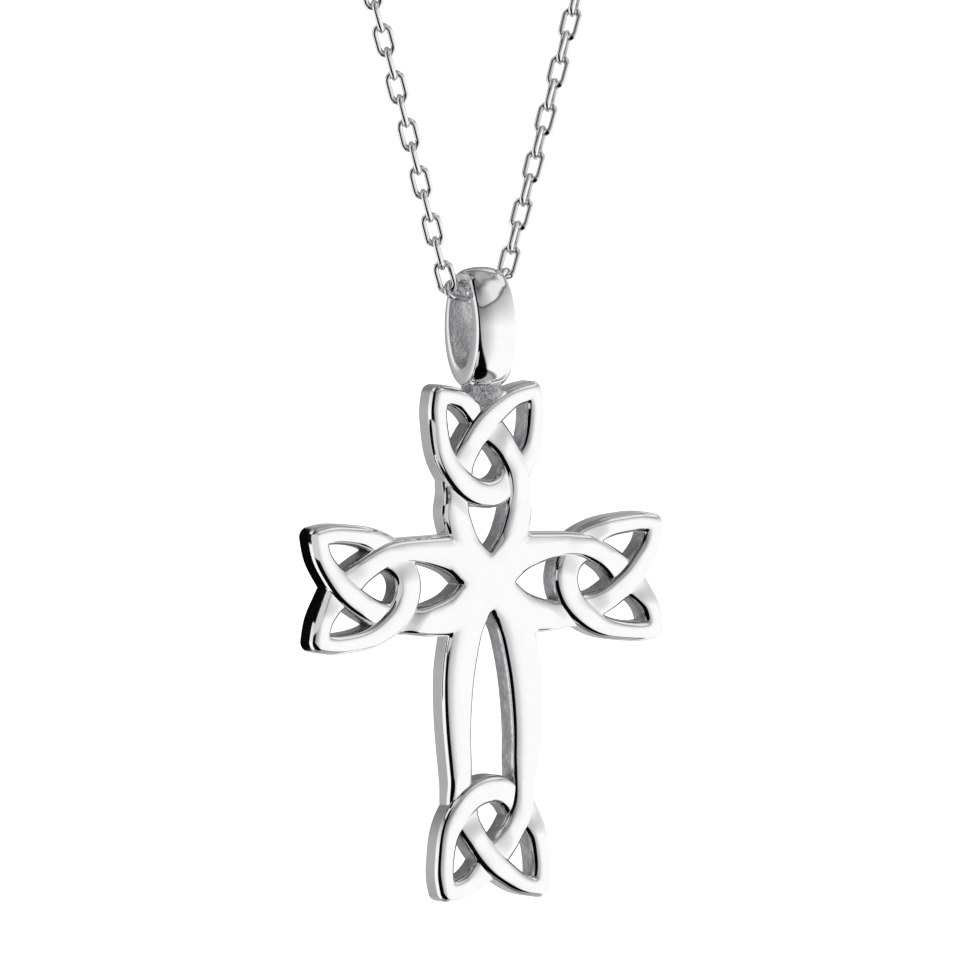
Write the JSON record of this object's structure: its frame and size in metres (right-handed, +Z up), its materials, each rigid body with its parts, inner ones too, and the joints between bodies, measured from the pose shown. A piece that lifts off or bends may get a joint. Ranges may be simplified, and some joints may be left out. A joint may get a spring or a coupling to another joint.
{
  "type": "celtic cross pendant on a chain",
  "caption": "Openwork Celtic cross pendant with trinity-knot arm ends and a large oval bail, hanging on a fine cable chain loop with a clasp.",
  "frame": {"origin": "where the necklace hangs from the neck: the middle of the clasp, at the top of the chain's loop", "axes": "+Z up along the pendant's long axis, the cross's front faces -Y, +X to its right as seen from the front"},
  "size_m": [0.0772, 0.0058, 0.2436],
  "materials": {
    "polished_silver": "cast silver, mirror polished; the inside of the bail is left matte",
    "chain_silver": "polished drawn silver wire",
    "clasp_silver": "polished silver"
  },
  "bodies": {
    "necklace": {"chain": "chain_silver", "clasp": "clasp_silver"},
    "pendant": {"cross_and_bail": "polished_silver"}
  },
  "joints": [
    {"name": "pendant_swing", "type": "hinge", "parent": "necklace", "child": "pendant", "pos_m": [0, 0, -0.199], "axis": [1, 0, 0], "range_deg": [-150, 150]}
  ]
}
